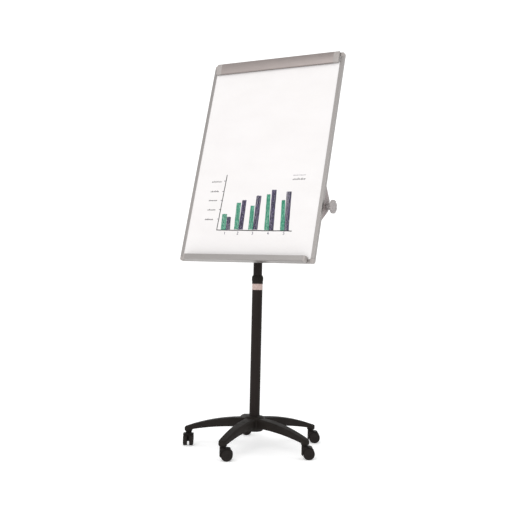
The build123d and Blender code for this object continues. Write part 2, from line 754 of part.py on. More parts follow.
# ---------------------------------------------------------------- all nodes
def board_nodes():
    left, right, low, high = frame_sides()
    spring = list(clamp_spring())
    mirrored = [mirror(piece, Plane.YZ) for piece in spring]
    return {
        "frame_left": left,
        "frame_right": right,
        "frame_bottom": low - [
            rod_y(SCREW_R + 0.05, FRONT - 1, FRONT + LIP_T + 0.05, x, z) for x, z in TRAY_SCREWS
        ],
        "frame_top": high - [
            rod_y(SCREW_R + 0.05, FRONT - 1, FRONT + LIP_T + 0.05, x, z) for x, z in RAIL_SCREWS
        ],
        "corner_pieces": corner_pieces(),
        "board_face": panel_layer(PANEL_Y, SHEET_T),
        "board_core": panel_layer(PANEL_Y + SHEET_T, CORE_T),
        "board_back": panel_layer(PANEL_Y + SHEET_T + CORE_T, SHEET_T),
        "bracket_left": mirror(tilt_bracket(), Plane.YZ),
        "bracket_right": tilt_bracket(),
        "board_screws": board_screws(),
        "pen_tray": pen_tray(),
        "tray_end_caps": both_sides(tray_end_cap()),
        "clamp_rail": clamp_rail(),
        "hinge_pins": hinge_pins(),
        "clamp_bar": clamp_bar(),
        "clamp_end_caps": both_sides(clamp_end_cap()),
        "grip_strip": grip_strip(),
        "clamp_springs": [fused(spring), fused(mirrored)],
        "hook_left": paper_hook(-HOOK_X),
        "hook_right": paper_hook(HOOK_X),
    }


def fused(pieces):
    whole = pieces[0]
    for piece in pieces[1:]:
        whole += piece
    return whole


def main():
    os.makedirs("parts", exist_ok=True)
    for name, shape in board_nodes().items():
        if isinstance(shape, (list, tuple)):
            save(name, [leaned(piece) for piece in shape])
        else:
            save(name, leaned(shape))
    save("upper_mast", upper_mast())
    save("head_tube", head_tube())
    save("tube_plugs", tube_plugs())
    save("friction_washers", friction_washers())
    save("pivot_bolt", pivot_bolt())
    save("tilt_knob", tilt_knob())
    save("tilt_knob_stud", tilt_knob_stud())
    save("glide_bush", glide_bush())
    save("lower_mast", lower_mast())
    save("foot_plug", foot_plug())
    save("mast_ferrule", mast_ferrule())
    save("clamp_bush", clamp_bush())
    save("lock_collar", lock_collar())
    save("label_band", label_band())
    save("star_base", star_base())
    save("base_bolt", base_bolt())
    save("caster_stems", caster_stems())
    hood = caster_hood()
    axle = caster_axle()
    wheel = caster_wheel()
    other_wheel = mirror(wheel, Plane.XZ)
    for k in range(ARM_COUNT):
        place = stem_place(k) * Rot(0, 0, CASTER_HEADINGS[k])
        save(f"caster_{k + 1}_hood", place * hood)
        save(f"caster_{k + 1}_axle", place * axle)
        save(f"caster_{k + 1}_wheel_left", place * wheel)
        save(f"caster_{k + 1}_wheel_right", place * other_wheel)


main()
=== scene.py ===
# %% [markdown]
# # A flipchart easel on casters
# A white writing board in an aluminium frame leans back on a telescopic mast, which stands
# on a star base with five twin-wheel casters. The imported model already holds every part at
# its true size and place. So nothing is moved here: each part gets its finish, and the
# small parts that the eye rests on are made again with their rounding and recesses.

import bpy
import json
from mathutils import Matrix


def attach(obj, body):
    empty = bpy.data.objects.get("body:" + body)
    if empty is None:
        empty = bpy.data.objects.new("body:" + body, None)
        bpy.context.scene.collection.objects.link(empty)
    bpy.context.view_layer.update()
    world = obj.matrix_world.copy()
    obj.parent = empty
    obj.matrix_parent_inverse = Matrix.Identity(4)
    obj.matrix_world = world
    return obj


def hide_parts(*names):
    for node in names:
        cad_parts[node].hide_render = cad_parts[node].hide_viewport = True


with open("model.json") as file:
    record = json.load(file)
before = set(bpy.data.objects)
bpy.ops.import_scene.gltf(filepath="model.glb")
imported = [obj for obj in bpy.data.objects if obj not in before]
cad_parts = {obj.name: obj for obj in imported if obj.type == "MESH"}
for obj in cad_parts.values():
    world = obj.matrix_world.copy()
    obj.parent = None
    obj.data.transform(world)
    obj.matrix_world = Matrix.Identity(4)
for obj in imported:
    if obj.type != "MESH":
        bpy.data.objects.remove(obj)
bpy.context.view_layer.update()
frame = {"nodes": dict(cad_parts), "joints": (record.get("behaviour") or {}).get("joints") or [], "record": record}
parts = frame["nodes"]

# %% Modules used below
import json
import math
import random

import bmesh
import bpy
from mathutils import Matrix, Vector

# %% [markdown]
# ## Board axes
# The board leans back, so drawing on it in upright coordinates would need sums for every
# point. It is easier to work in the board's own axes: x from its middle, y backwards from
# the front of the frame and z up from its lower edge. One matrix takes the work to its
# place. Pieces are drawn in millimetres, because a maker thinks of this object in them.

# %% Board axes
MM = Matrix.Scale(0.001, 4)
BOARD_W, BOARD_H = 700.0, 1010.0
PIVOT_BACK, PIVOT_UP = 57.5, 277.0   # tilt axis, from the front and lower edge of the board
joints = {joint["name"]: joint for joint in frame["joints"]}
tilt = joints["board_tilt"]
tilt_axis = Vector(tilt["pos_m"])
LEAN = math.radians(-tilt["range_deg"][0])

pivot_place = Matrix.Translation(tilt_axis) @ Matrix.Rotation(-LEAN, 4, "X")
board_place = pivot_place @ MM @ Matrix.Translation((0, -PIVOT_BACK, -PIVOT_UP))
print("lean", round(math.degrees(LEAN), 2), "lower edge at", board_place @ Vector((0, 0, 0)))

# %% [markdown]
# ## How a finish is built
# A real surface is never one flat colour. Drawn aluminium has lines along the bar, powder
# coat has a fine orange peel, and moulded nylon has a matt grain. Each finish below starts
# from a Principled shader and adds noise that moves the colour, the roughness or the
# height a little. The noise reads Object coordinates: every part sits at the origin with
# its place in its mesh, so these are true metres, and the grain has its true size.


# %% Start a finish
def linear(value):
    """One channel of a screen colour, 0 to 255, as the linear light that shaders use."""
    value /= 255
    return value / 12.92 if value <= 0.04045 else ((value + 0.055) / 1.055) ** 2.4


def display(red, green, blue):
    """A colour as a screen shows it, ready for a shader."""
    return (linear(red), linear(green), linear(blue), 1)


def shade_of(colour, share):
    """The same colour, darker for a share below one and lighter above."""
    return tuple(min(1.0, c * share) for c in colour[:3]) + (1,)


def shader_of(made):
    """The main shader of a finish."""
    return made.node_tree.nodes["Principled BSDF"]


def new_finish(name, colour, roughness, metallic=0.0, specular=0.5):
    """A plain finish, to which grain is added."""
    made = bpy.data.materials.new(name)
    made.use_nodes = True
    shader = shader_of(made)
    shader.inputs["Base Color"].default_value = colour
    shader.inputs["Roughness"].default_value = roughness
    shader.inputs["Metallic"].default_value = metallic
    shader.inputs["Specular IOR Level"].default_value = specular
    made.diffuse_color = colour
    return made


print("a screen grey of 128 is", round(linear(128), 3), "in linear light")


# %% Grain, colour, roughness and height
def grain(made, size, stretch=(1, 1, 1), lean=0.0, detail=3.0):
    """Noise with flecks of a size in millimetres, longer by stretch along each axis.

    A lean turns the noise back with the board, so that its lines follow the bars.
    """
    tree = made.node_tree
    place = tree.nodes.new("ShaderNodeTexCoord")
    squared = tree.nodes.new("ShaderNodeMapping")
    squared.inputs["Rotation"].default_value = (lean, 0, 0)
    scaled = tree.nodes.new("ShaderNodeMapping")
    scaled.inputs["Scale"].default_value = [1000 / (size * s) for s in stretch]
    noise = tree.nodes.new("ShaderNodeTexNoise")
    noise.inputs["Scale"].default_value = 1.0
    noise.inputs["Detail"].default_value = detail
    tree.links.new(place.outputs["Object"], squared.inputs["Vector"])
    tree.links.new(squared.outputs["Vector"], scaled.inputs["Vector"])
    tree.links.new(scaled.outputs["Vector"], noise.inputs["Vector"])
    return noise.outputs["Fac"]


def tint(made, factor, first, second, low=0.35, high=0.65):
    """Moves the base colour between two colours as the noise goes from low to high."""
    tree = made.node_tree
    ramp = tree.nodes.new("ShaderNodeValToRGB")
    start, end = ramp.color_ramp.elements
    start.position, start.color = low, first
    end.position, end.color = high, second
    tree.links.new(factor, ramp.inputs["Fac"])
    tree.links.new(ramp.outputs["Color"], shader_of(made).inputs["Base Color"])


def sheen(made, factor, smooth, rough):
    """Moves the roughness between two values."""
    tree = made.node_tree
    spread = tree.nodes.new("ShaderNodeMapRange")
    spread.inputs["From Min"].default_value, spread.inputs["From Max"].default_value = 0.3, 0.7
    spread.inputs["To Min"].default_value, spread.inputs["To Max"].default_value = smooth, rough
    tree.links.new(factor, spread.inputs["Value"])
    tree.links.new(spread.outputs["Result"], shader_of(made).inputs["Roughness"])


def emboss(made, factor, height):
    """Raises and lowers the surface by a height in millimetres."""
    tree = made.node_tree
    bump = tree.nodes.new("ShaderNodeBump")
    bump.inputs["Strength"].default_value = 1.0
    bump.inputs["Distance"].default_value = height / 1000
    tree.links.new(factor, bump.inputs["Height"])
    tree.links.new(bump.outputs["Normal"], shader_of(made).inputs["Normal"])


print("finish helpers ready")

# %% [markdown]
# ## Satin anodised aluminium
# The frame, pen tray and clamp are extruded bars. Being pulled through a die leaves fine
# lines along the bar, and etching and anodising turn them satin. So the noise is drawn out
# more than a hundred times along the bar. Uprights and crossbars need it in different
# directions. The clamp is a little duller than the frame.


# %% Drawn aluminium
def drawn_aluminium(name, colour, stretch, roughness):
    """Anodised bar with drawn lines half a millimetre apart and slow changes of gloss."""
    made = new_finish(name, colour, roughness, 0.9)
    lines = grain(made, 0.5, stretch, LEAN, detail=2.0)
    tint(made, lines, shade_of(colour, 0.93), shade_of(colour, 1.06))
    emboss(made, lines, 0.012)
    patches = grain(made, 60, lean=LEAN, detail=4.0)
    sheen(made, patches, roughness - 0.06, roughness + 0.08)
    return made


UPWARDS, ACROSS = (1, 1, 120), (120, 1, 1)
FRAME_GREY, CLAMP_GREY = display(153, 149, 147), display(158, 149, 146)
upright_aluminium = drawn_aluminium("upright_aluminium", FRAME_GREY, UPWARDS, 0.38)
crossbar_aluminium = drawn_aluminium("crossbar_aluminium", FRAME_GREY, ACROSS, 0.38)
clamp_aluminium = drawn_aluminium("clamp_aluminium", CLAMP_GREY, ACROSS, 0.42)
print("aluminium finishes", len(bpy.data.materials))

# %% [markdown]
# ## White enamel and galvanised sheet
# The writing surface is steel with a baked white enamel: glossy, with a very slight
# waviness, and a few faint greys where marker has been wiped away. The sheet behind is
# bare galvanised steel, whose zinc crystals show as large flat flecks.

# %% White enamel
white_enamel = new_finish("white_enamel", (0.71, 0.69, 0.687, 1), 0.2)
wiped = grain(white_enamel, 90, (2.4, 1, 1), LEAN, detail=5.0)
tint(white_enamel, wiped, (0.70, 0.678, 0.674, 1), (0.72, 0.70, 0.697, 1))
sheen(white_enamel, grain(white_enamel, 45, (1.6, 1, 1), LEAN, detail=5.0), 0.16, 0.27)
emboss(white_enamel, grain(white_enamel, 16, lean=LEAN, detail=1.0), 0.01)
shader_of(white_enamel).inputs["Coat Weight"].default_value = 0.35
shader_of(white_enamel).inputs["Coat Roughness"].default_value = 0.08
print("white enamel ready")


# %% Galvanised sheet
def crystals(made, size):
    """Flat cells of random brightness, as zinc crystals have."""
    tree = made.node_tree
    place = tree.nodes.new("ShaderNodeTexCoord")
    cells = tree.nodes.new("ShaderNodeTexVoronoi")
    cells.inputs["Scale"].default_value = 1000 / size
    grey = tree.nodes.new("ShaderNodeRGBToBW")
    tree.links.new(place.outputs["Object"], cells.inputs["Vector"])
    tree.links.new(cells.outputs["Color"], grey.inputs["Color"])
    return grey.outputs["Val"]


galvanised_sheet = new_finish("galvanised_sheet", display(168, 171, 174), 0.42, 0.85)
flecks = crystals(galvanised_sheet, 8)
tint(galvanised_sheet, flecks, display(156, 159, 162), display(173, 176, 178), 0.2, 0.8)
sheen(galvanised_sheet, flecks, 0.4, 0.5)
emboss(galvanised_sheet, grain(galvanised_sheet, 1.2), 0.01)
print("galvanised sheet ready")

# %% [markdown]
# ## Powder coat and moulded plastics
# The steel mast is powder coated: a nearly black brown with a fine orange peel. The base,
# the collar and the casters are moulded in black nylon with a matt grain from the mould.
# The corner pieces, end caps and knob are a light grey plastic. All of these are one kind
# of surface with other numbers, so one helper makes them.


# %% Moulded and coated finishes
def moulded(name, colour, roughness, peel, height, patches, spread, specular=0.5):
    """A matt surface with a fine grain and slow changes of colour and gloss.

    Peel is the size of the grain and height its depth, patches is the size of the slow
    changes and spread is how far they move the colour.
    """
    made = new_finish(name, colour, roughness, 0.0, specular)
    slow = grain(made, patches, detail=4.0)
    tint(made, slow, shade_of(colour, 1 - spread), shade_of(colour, 1 + spread))
    sheen(made, grain(made, patches * 0.4, detail=5.0), roughness - 0.07, roughness + 0.08)
    emboss(made, grain(made, peel, detail=2.0), height)
    return made


DULL = 0.12     # the black finishes reflect little of the pale room
black_paint = moulded("black_paint", display(30, 24, 22), 0.56, 1.6, 0.02, 90.0, 0.1, DULL)
black_nylon = moulded("black_nylon", display(30, 26, 23), 0.62, 0.8, 0.03, 60.0, 0.14, DULL)
caster_nylon = moulded("caster_nylon", display(28, 24, 22), 0.58, 0.7, 0.02, 30.0, 0.14, DULL)
wheel_nylon = moulded("wheel_nylon", display(31, 27, 25), 0.5, 0.9, 0.012, 25.0, 0.12, DULL)
tread_rubber = moulded("tread_rubber", display(34, 30, 28), 0.72, 0.6, 0.03, 12.0, 0.2, DULL)
grey_plastic = moulded("grey_plastic", display(154, 148, 145), 0.46, 0.6, 0.015, 40.0, 0.05)
knob_plastic = moulded("knob_plastic", display(152, 147, 146), 0.5, 0.7, 0.02, 30.0, 0.05)
grey_paint = moulded("grey_paint", display(138, 128, 127), 0.5, 1.4, 0.02, 50.0, 0.07)
grip_rubber = moulded("grip_rubber", display(40, 40, 40), 0.75, 0.5, 0.03, 20.0, 0.2)
friction_pad = moulded("friction_pad", display(92, 82, 70), 0.8, 0.5, 0.05, 6.0, 0.25)
print("moulded finishes ready")

# %% [markdown]
# ## Zinc, spring steel, paper and core board
# Screws and pins are zinc plated, which is a soft blue grey with cloudy patches. The caster
# stems are steel too, blackened in oil. The springs are bright drawn wire. The band on the
# mast is a plain paper label, and the panel's core, which shows only in its grooves, is
# brown honeycomb board.


# %% Small metal finishes, paper and core board
def plated(name, colour, roughness, cloud):
    """Bare or plated metal with cloudy patches of a size in millimetres."""
    made = new_finish(name, colour, roughness, 0.95)
    clouds = grain(made, cloud, detail=4.0)
    tint(made, clouds, shade_of(colour, 0.86), shade_of(colour, 1.1))
    sheen(made, clouds, roughness - 0.08, roughness + 0.1)
    emboss(made, grain(made, 0.3, detail=1.0), 0.004)
    return made


zinc_steel = plated("zinc_steel", display(188, 189, 188), 0.34, 3.0)
blackened_steel = plated("blackened_steel", display(62, 58, 56), 0.45, 3.0)
spring_steel = plated("spring_steel", display(150, 150, 152), 0.26, 2.0)
label_paper = moulded("label_paper", display(178, 156, 150), 0.62, 0.4, 0.01, 9.0, 0.1)
core_board = moulded("core_board", display(176, 152, 120), 0.85, 1.0, 0.06, 8.0, 0.18)
print("all finishes", len(bpy.data.materials))

# %% [markdown]
# ## Put a finish on every part
# The record says which material slot each part belongs to. A table from slot to finish
# dresses them all at once. Two kinds of part differ from their slot: the uprights, because
# their drawn lines run upwards, and the blackened caster stems.

# %% Finishes by slot
finish_of_slot = {
    "frame_aluminium": crossbar_aluminium, "clamp_aluminium": clamp_aluminium,
    "white_enamel": white_enamel, "core_board": core_board,
    "galvanised_sheet": galvanised_sheet, "light_grey_plastic": grey_plastic,
    "knob_plastic": knob_plastic, "grey_paint": grey_paint, "black_paint": black_paint,
    "black_plastic": black_nylon, "caster_plastic": caster_nylon,
    "wheel_plastic": wheel_nylon, "zinc_steel": zinc_steel, "spring_steel": spring_steel,
    "grip_rubber": grip_rubber, "friction_pad": friction_pad, "label_paper": label_paper,
}
slot_of_part = {row["node"]: row["material_slot"] for row in frame["record"]["subparts"]}


def dress(part, made):
    for material_slot in part.material_slots:
        material_slot.material = made


for name, part in parts.items():
    dress(part, finish_of_slot[slot_of_part[name]])
for name in ("frame_left", "frame_right"):
    dress(parts[name], upright_aluminium)
dress(parts["caster_stems"], blackened_steel)
print("dressed", len(parts), "parts")

# %% [markdown]
# ## How a new piece is finished off
# A piece is shaped in a bmesh in millimetres, then taken to its place, so that its object
# stays at the origin. Sharp moulded edges get a small bevel: without one an edge catches no
# light and the part looks cut from card. Faces are shaded smooth up to an angle.


# %% Bevel, place and ride
SHARP = math.radians(32)


def soften(shape, width):
    """Rounds every sharp edge."""
    sharp = [e for e in shape.edges if len(e.link_faces) == 2 and e.calc_face_angle(0.0) > SHARP]
    bmesh.ops.bevel(
        shape, geom=sharp, offset=width, offset_type="OFFSET", affect="EDGES",
        segments=2, profile=0.5, material=-1, clamp_overlap=True,
    )


def join_into(group, shape, place):
    """Takes one shape to its place in a group that becomes a single piece.

    A place that mirrors would turn the faces inwards, so there they are reversed.
    """
    shape.transform(place)
    if place.determinant() < 0:
        bmesh.ops.reverse_faces(shape, faces=shape.faces)
    mesh = bpy.data.meshes.new("joined")
    shape.to_mesh(mesh)
    shape.free()
    group.from_mesh(mesh)
    bpy.data.meshes.remove(mesh)


def make_piece(shape, name, place, body, made, smooth=35.0):
    """Turns a bmesh in millimetres into a piece that rides on a body.

    Made is one finish or a list of them, and faces meet smoothly up to the smooth angle.
    """
    shape.transform(place)
    mesh = bpy.data.meshes.new(name)
    shape.to_mesh(mesh)
    shape.free()
    for finish in (made if isinstance(made, list) else [made]):
        mesh.materials.append(finish)
    mesh.shade_smooth()
    mesh.set_sharp_from_angle(angle=math.radians(smooth))
    piece = bpy.data.objects.new(name, mesh)
    bpy.context.scene.collection.objects.link(piece)
    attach(piece, body)
    print(name, "faces", len(mesh.polygons))
    return piece


print("piece helpers ready")

# %% [markdown]
# ## Parts that only need their edges rounded
# The caster hoods, end caps, corner pieces and brackets have the right shape already, but
# their edges are knife sharp, and no moulding or pressing comes out like that. A copy of
# each part has its doubled points merged and its flat faces joined, and then every sharp
# edge gets a small round. The copy stands in for the part.


# %% Round the edges of a copy
FLAT = math.radians(0.6)             # faces that meet at less than this are one flat face
HOOD_ROUND, CAP_ROUND = 0.5, 0.4


def rounded_copy(name, body, width):
    """Stands a copy of a part, with its sharp edges rounded, in the part's place."""
    part = parts[name]
    shape = bmesh.new()
    shape.from_mesh(part.data)
    shape.transform(Matrix.Scale(1000, 4))
    bmesh.ops.remove_doubles(shape, verts=shape.verts, dist=0.003)
    bmesh.ops.dissolve_limit(shape, angle_limit=FLAT, verts=shape.verts, edges=shape.edges)
    soften(shape, width)
    bmesh.ops.dissolve_degenerate(shape, edges=shape.edges, dist=0.002)
    bmesh.ops.recalc_face_normals(shape, faces=shape.faces)
    finish = part.material_slots[0].material
    copy = make_piece(shape, name + "_rounded", MM, body, finish, 40.0)
    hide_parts(name)


for k in range(1, 6):
    rounded_copy(f"caster_{k}_hood", f"caster_{k}", HOOD_ROUND)
for name in ("corner_pieces", "tray_end_caps", "bracket_left", "bracket_right"):
    rounded_copy(name, "board", CAP_ROUND)
rounded_copy("clamp_end_caps", "clamp", CAP_ROUND)

# %% [markdown]
# ## Turned shapes
# Wheels, screws, bolts and the knob are all round. Each starts as half its outline, drawn
# as a few points, and is spun a full turn about Z. The ends on the axis collapse to poles,
# which are merged, and the normals are recalculated because a spin can leave them inwards.


# %% Spin an outline
def turned(outline, sides):
    """A closed round shape about Z from (radius, height) points in millimetres."""
    shape = bmesh.new()
    points = [shape.verts.new((radius, 0, height)) for radius, height in outline]
    lines = [shape.edges.new(pair) for pair in zip(points, points[1:])]
    bmesh.ops.spin(
        shape, geom=points + lines, cent=(0, 0, 0), axis=(0, 0, 1),
        angle=math.tau, steps=sides, use_merge=True,
    )
    bmesh.ops.remove_doubles(shape, verts=shape.verts, dist=0.0005)
    bmesh.ops.recalc_face_normals(shape, faces=shape.faces)
    return shape


def pointing(place, direction):
    """Takes a shape along Z to a place in metres, with its Z along a direction."""
    turn = Vector((0, 0, 1)).rotation_difference(Vector(direction)).to_matrix().to_4x4()
    return Matrix.Translation(Vector(place)) @ turn @ MM


# %% [markdown]
# ## Caster wheels
# Each caster has two wheels of black nylon with a slightly softer tread moulded round them.
# The outer face is dished, with a raised boss over the axle. One outline gives all of it,
# and the faces further out than the rim get the tread finish.

# %% Outline of a wheel
AXLE_BORE, TREAD_START = 3.06, 22.4      # radii of the bore and of the inner edge of the tread
wheel_outline = [
    (0, 5.4), (AXLE_BORE, 5.4), (AXLE_BORE, -9), (7.5, -9), (8, -8.2), (19.5, -8.2),
    (20.2, -9), (23.6, -9), (25.2, -8.4), (25.97, -7.0), (25.97, 4.2), (25.6, 6.2),
    (24.4, 8.0), (22.8, 8.9), (21.4, 9), (20.7, 8.2), (19.6, 7.4), (14, 6.7), (10.5, 6.9),
    (9.2, 7.5), (8.4, 8.4), (7.2, 8.8), (3, 9), (0, 9),
]


def caster_wheel():
    """A wheel about Z, whose outer faces take the second finish."""
    wheel = turned(wheel_outline, 56)
    for face in wheel.faces:
        middle = face.calc_center_median()
        face.material_index = 1 if math.hypot(middle.x, middle.y) > TREAD_START else 0
    return wheel


print("wheel outline has", len(wheel_outline), "points")

# %% Ten wheels
for joint_name, joint in joints.items():
    if joint_name.endswith("_roll"):
        name = joint["child"]
        side = 1 if name.endswith("left") else -1
        outward = [side * a for a in joint["axis"]]
        wheel = make_piece(
            caster_wheel(), name + "_moulded", pointing(joint["pos_m"], outward), name,
            [wheel_nylon, tread_rubber],
        )
        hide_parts(name)

# %% [markdown]
# ## Caster columns and sockets
# On such a caster the stem turns inside a thick column in front of the wheels, and the arm
# ends in a socket nearly as wide as itself. A column starts as a cylinder cut into levels.
# At each level its points are spread round only that part of the circle that is clear of
# the wheels, which leaves the hollow that the real moulding has. A low ring makes each
# socket full.

# %% Shape of a column
TRAIL, AXLE_UP = 18.0, 26.0          # the wheels' axle, behind the stem and above the floor
CLEAR_R = 27.4                       # round of the wheels and their clearance
COLUMN_R, COLUMN_FOOT, COLUMN_TOP = 14.5, 17.0, 60.6
BARREL_FOOT, STEP_UP, STEPS_UP = 21.0, 2.4, 17
EDGE_IN, FOOT_IN = 1.2, 4.0          # how far the radius draws in at the ends
AROUND = 32
NARROWEST = 0.9994                   # cosine of half the gap left where the wheels are far

column_levels = [(COLUMN_FOOT, COLUMN_R - FOOT_IN), (COLUMN_FOOT + 1.4, COLUMN_R - EDGE_IN)]
column_levels += [(BARREL_FOOT + STEP_UP * k, COLUMN_R) for k in range(STEPS_UP)]
column_levels += [(COLUMN_TOP, COLUMN_R - EDGE_IN)]


def column():
    """A round column about the stem, hollowed on the side of the wheels (+X)."""
    shape = bmesh.new()
    last = len(column_levels) - 1
    bmesh.ops.create_cone(
        shape, cap_ends=True, segments=AROUND, radius1=1, radius2=1, depth=last
    )
    upright = [e for e in shape.edges if abs(e.verts[0].co.z - e.verts[1].co.z) > 0.5]
    bmesh.ops.subdivide_edges(shape, edges=upright, cuts=last - 1, use_grid_fill=True)
    for vert in shape.verts:
        height, radius = column_levels[round(vert.co.z + last / 2)]
        inside = CLEAR_R ** 2 - (height - AXLE_UP) ** 2
        free = TRAIL - math.sqrt(inside) if inside > 0 else radius
        start = math.acos(min(NARROWEST, free / radius))
        turn_share = math.atan2(vert.co.y, vert.co.x) % math.tau / math.tau
        step = round(turn_share * AROUND) % AROUND
        angle = start + (math.tau - 2 * start) * step / (AROUND - 1)
        vert.co = (radius * math.cos(angle), radius * math.sin(angle), height)
    bmesh.ops.recalc_face_normals(shape, faces=shape.faces)
    return shape


print("column levels", len(column_levels))

# %% Five columns and their sockets
SOCKET_BORE, SOCKET_R, SOCKET_FOOT, SOCKET_TOP = 8.8, 17.8, 63.2, 74.0
socket_outline = [
    (SOCKET_BORE, SOCKET_FOOT), (SOCKET_R - 1.8, SOCKET_FOOT),
    (SOCKET_R - 0.4, SOCKET_FOOT + 1.4), (SOCKET_R, SOCKET_TOP), (SOCKET_BORE, SOCKET_TOP),
    (SOCKET_BORE, SOCKET_FOOT),
]
sockets = bmesh.new()
for k in range(1, 6):
    stem = Vector(joints[f"caster_{k}_swivel"]["pos_m"])
    left, right = (
        Vector(joints[f"caster_{k}_wheel_{side}_roll"]["pos_m"]) for side in ("left", "right")
    )
    trail = (left + right) / 2 - stem
    stem.z = 0
    heading = math.atan2(trail.y, trail.x)
    place = Matrix.Translation(stem) @ Matrix.Rotation(heading, 4, "Z") @ MM
    make_piece(column(), f"caster_{k}_column", place, f"caster_{k}", caster_nylon,
               40.0)
    join_into(sockets, turned(socket_outline, 40), Matrix.Translation(stem * 1000))
make_piece(sockets, "caster_sockets", MM, "base", black_nylon, 40.0)

# %% [markdown]
# ## Tilt knob
# The knob is gripped from the side, so its rim has eight shallow scallops, and every edge
# is rounded for the hand. It is spun first, and then each point near the rim is drawn
# inwards by a share that follows the angle. The outer face is dished round a small cap.

# %% Knob
KNOB_REST = 346.2                    # inner end of the hub, from the middle of the easel
KNOB_R, KNOB_LENGTH, GRIP = 31.0, 36.8, 14.0
grip_start = KNOB_LENGTH - GRIP
knob_outline = [
    (0, 0), (12.6, 0), (13, 0.4), (14, grip_start * 0.45), (15.4, grip_start - 3.4),
    (17.5, grip_start - 1.0), (KNOB_R - 4.5, grip_start), (KNOB_R - 1.6, grip_start + 1.2),
    (KNOB_R - 0.4, grip_start + 3.4), (KNOB_R, grip_start + 6), (KNOB_R, KNOB_LENGTH - 5),
    (KNOB_R - 0.6, KNOB_LENGTH - 2.4), (KNOB_R - 2.6, KNOB_LENGTH - 0.5),
    (KNOB_R - 5, KNOB_LENGTH), (KNOB_R - 8, KNOB_LENGTH), (KNOB_R - 10.4, KNOB_LENGTH - 1.2),
    (KNOB_R - 12, KNOB_LENGTH - 2.6), (12, KNOB_LENGTH - 3), (10.6, KNOB_LENGTH - 2.8),
    (9.8, KNOB_LENGTH - 1.8), (8.6, KNOB_LENGTH - 1.4), (0, KNOB_LENGTH - 1.4),
]


def scallop(shape, start, inner, outer, count, depth):
    """Draws the rim inwards in round hollows, fading to nothing towards the inner radius."""
    narrowing = 1.4
    for point in shape.verts:
        radius = math.hypot(point.co.x, point.co.y)
        if point.co.z > start and radius > inner:
            angle = math.atan2(point.co.y, point.co.x)
            wave = max(0.0, math.cos(count * angle)) ** narrowing
            share = min(1.0, (radius - inner) / (outer - inner))
            scale = 1 - depth * wave * share / radius
            point.co.x *= scale
            point.co.y *= scale


knob_shape = turned(knob_outline, 128)
scallop(knob_shape, start=grip_start - 1.5, inner=17.0, outer=KNOB_R - 2, count=8, depth=3.4)
knob_place = pointing(tilt_axis + Vector((KNOB_REST / 1000, 0, 0)), (1, 0, 0))
knob = make_piece(knob_shape, "tilt_knob_moulded", knob_place, "tilt_knob", knob_plastic,
                  50.0)
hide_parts("tilt_knob")

# %% [markdown]
# ## Screws and the pivot bolt
# Pan-head screws hold the tray, the clamp's rail and the brackets, and a big low bolt is
# the pivot on the left. Their heads are spun, and left open in the middle. A loop in the
# form of the driver, a cross or a hexagon, is bridged to that opening and then pushed in,
# so the recess is real and catches the light as it should.


# %% Driver recess
RECESS_TAPER = 0.72


def recessed(outline, driver, depth, sides):
    """A turned shape that ends in an open ring, closed with a recess for a driver."""
    shape = turned(outline, sides)
    height = outline[-1][1]
    ring = [e for e in shape.edges if e.is_boundary]
    corners = [shape.verts.new((x, y, height)) for x, y in driver]
    loop = [shape.edges.new(pair) for pair in zip(corners, corners[1:] + corners[:1])]
    bmesh.ops.bridge_loops(shape, edges=ring + loop)
    pushed = bmesh.ops.extrude_edge_only(shape, edges=loop)["geom"]
    inner = [v for v in pushed if isinstance(v, bmesh.types.BMVert)]
    for vert in inner:
        vert.co = (vert.co.x * RECESS_TAPER, vert.co.y * RECESS_TAPER, height - depth)
    floor_edges = [e for e in pushed if isinstance(e, bmesh.types.BMEdge)]
    bmesh.ops.contextual_create(shape, geom=floor_edges)
    bmesh.ops.recalc_face_normals(shape, faces=shape.faces)
    return shape


CROSS_W, CROSS_L = 0.42, 1.75        # half the width and length of an arm of the cross
CROSS = [
    (CROSS_L, -CROSS_W), (CROSS_L, CROSS_W), (CROSS_W, CROSS_W), (CROSS_W, CROSS_L),
    (-CROSS_W, CROSS_L), (-CROSS_W, CROSS_W), (-CROSS_L, CROSS_W), (-CROSS_L, -CROSS_W),
    (-CROSS_W, -CROSS_W), (-CROSS_W, -CROSS_L), (CROSS_W, -CROSS_L), (CROSS_W, -CROSS_W),
]
HEX_R = 4.2
HEXAGON = [(HEX_R * math.cos(k * math.pi / 3), HEX_R * math.sin(k * math.pi / 3)) for k in range(6)]
print("driver outlines", len(CROSS), "and", len(HEXAGON), "points")


# %% Sixteen screws
def pan_screw(length):
    """A pan-head screw along Z, with the underside of its head at zero."""
    return recessed([
        (0, -length), (1.5, -length), (2, -length + 0.5), (2, 0), (3.5, 0), (3.6, 0.15),
        (3.55, 0.8), (3.2, 1.5), (2.7, 1.95), (2.2, 2.15),
    ], CROSS, 1.3, 24)


FRONT, BACK = 1, -1
EDGE_GAP = 12.5                      # rail and tray screws, from the board's upper or lower edge
RAIL_Y, TRAY_Y, BRACKET_Y = -2.0, -1.6, 20.5
screw_rows = [((x, RAIL_Y, BOARD_H - EDGE_GAP), FRONT, 3.6) for x in (-290, -60, 60, 290)]
screw_rows += [((x, TRAY_Y, EDGE_GAP), FRONT, 3.2) for x in (-280, -95, 95, 280)]
screw_rows += [
    ((x, BRACKET_Y, PIVOT_UP + up), BACK, 5.5)
    for x in (-338.5, 338.5) for up in (-70, -30, 40, 80)
]
screws = bmesh.new()
for k, (place, side, length) in enumerate(screw_rows):
    stop = Matrix.Rotation(k * 1.1, 4, "Z")          # no two screws stop at the same angle
    facing = Matrix.Rotation(math.radians(90 * side), 4, "X")
    join_into(screws, pan_screw(length), Matrix.Translation(place) @ facing @ stop)
screw_piece = make_piece(screws, "board_screws_driven", board_place, "board", zinc_steel,
                         30.0)
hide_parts("board_screws")

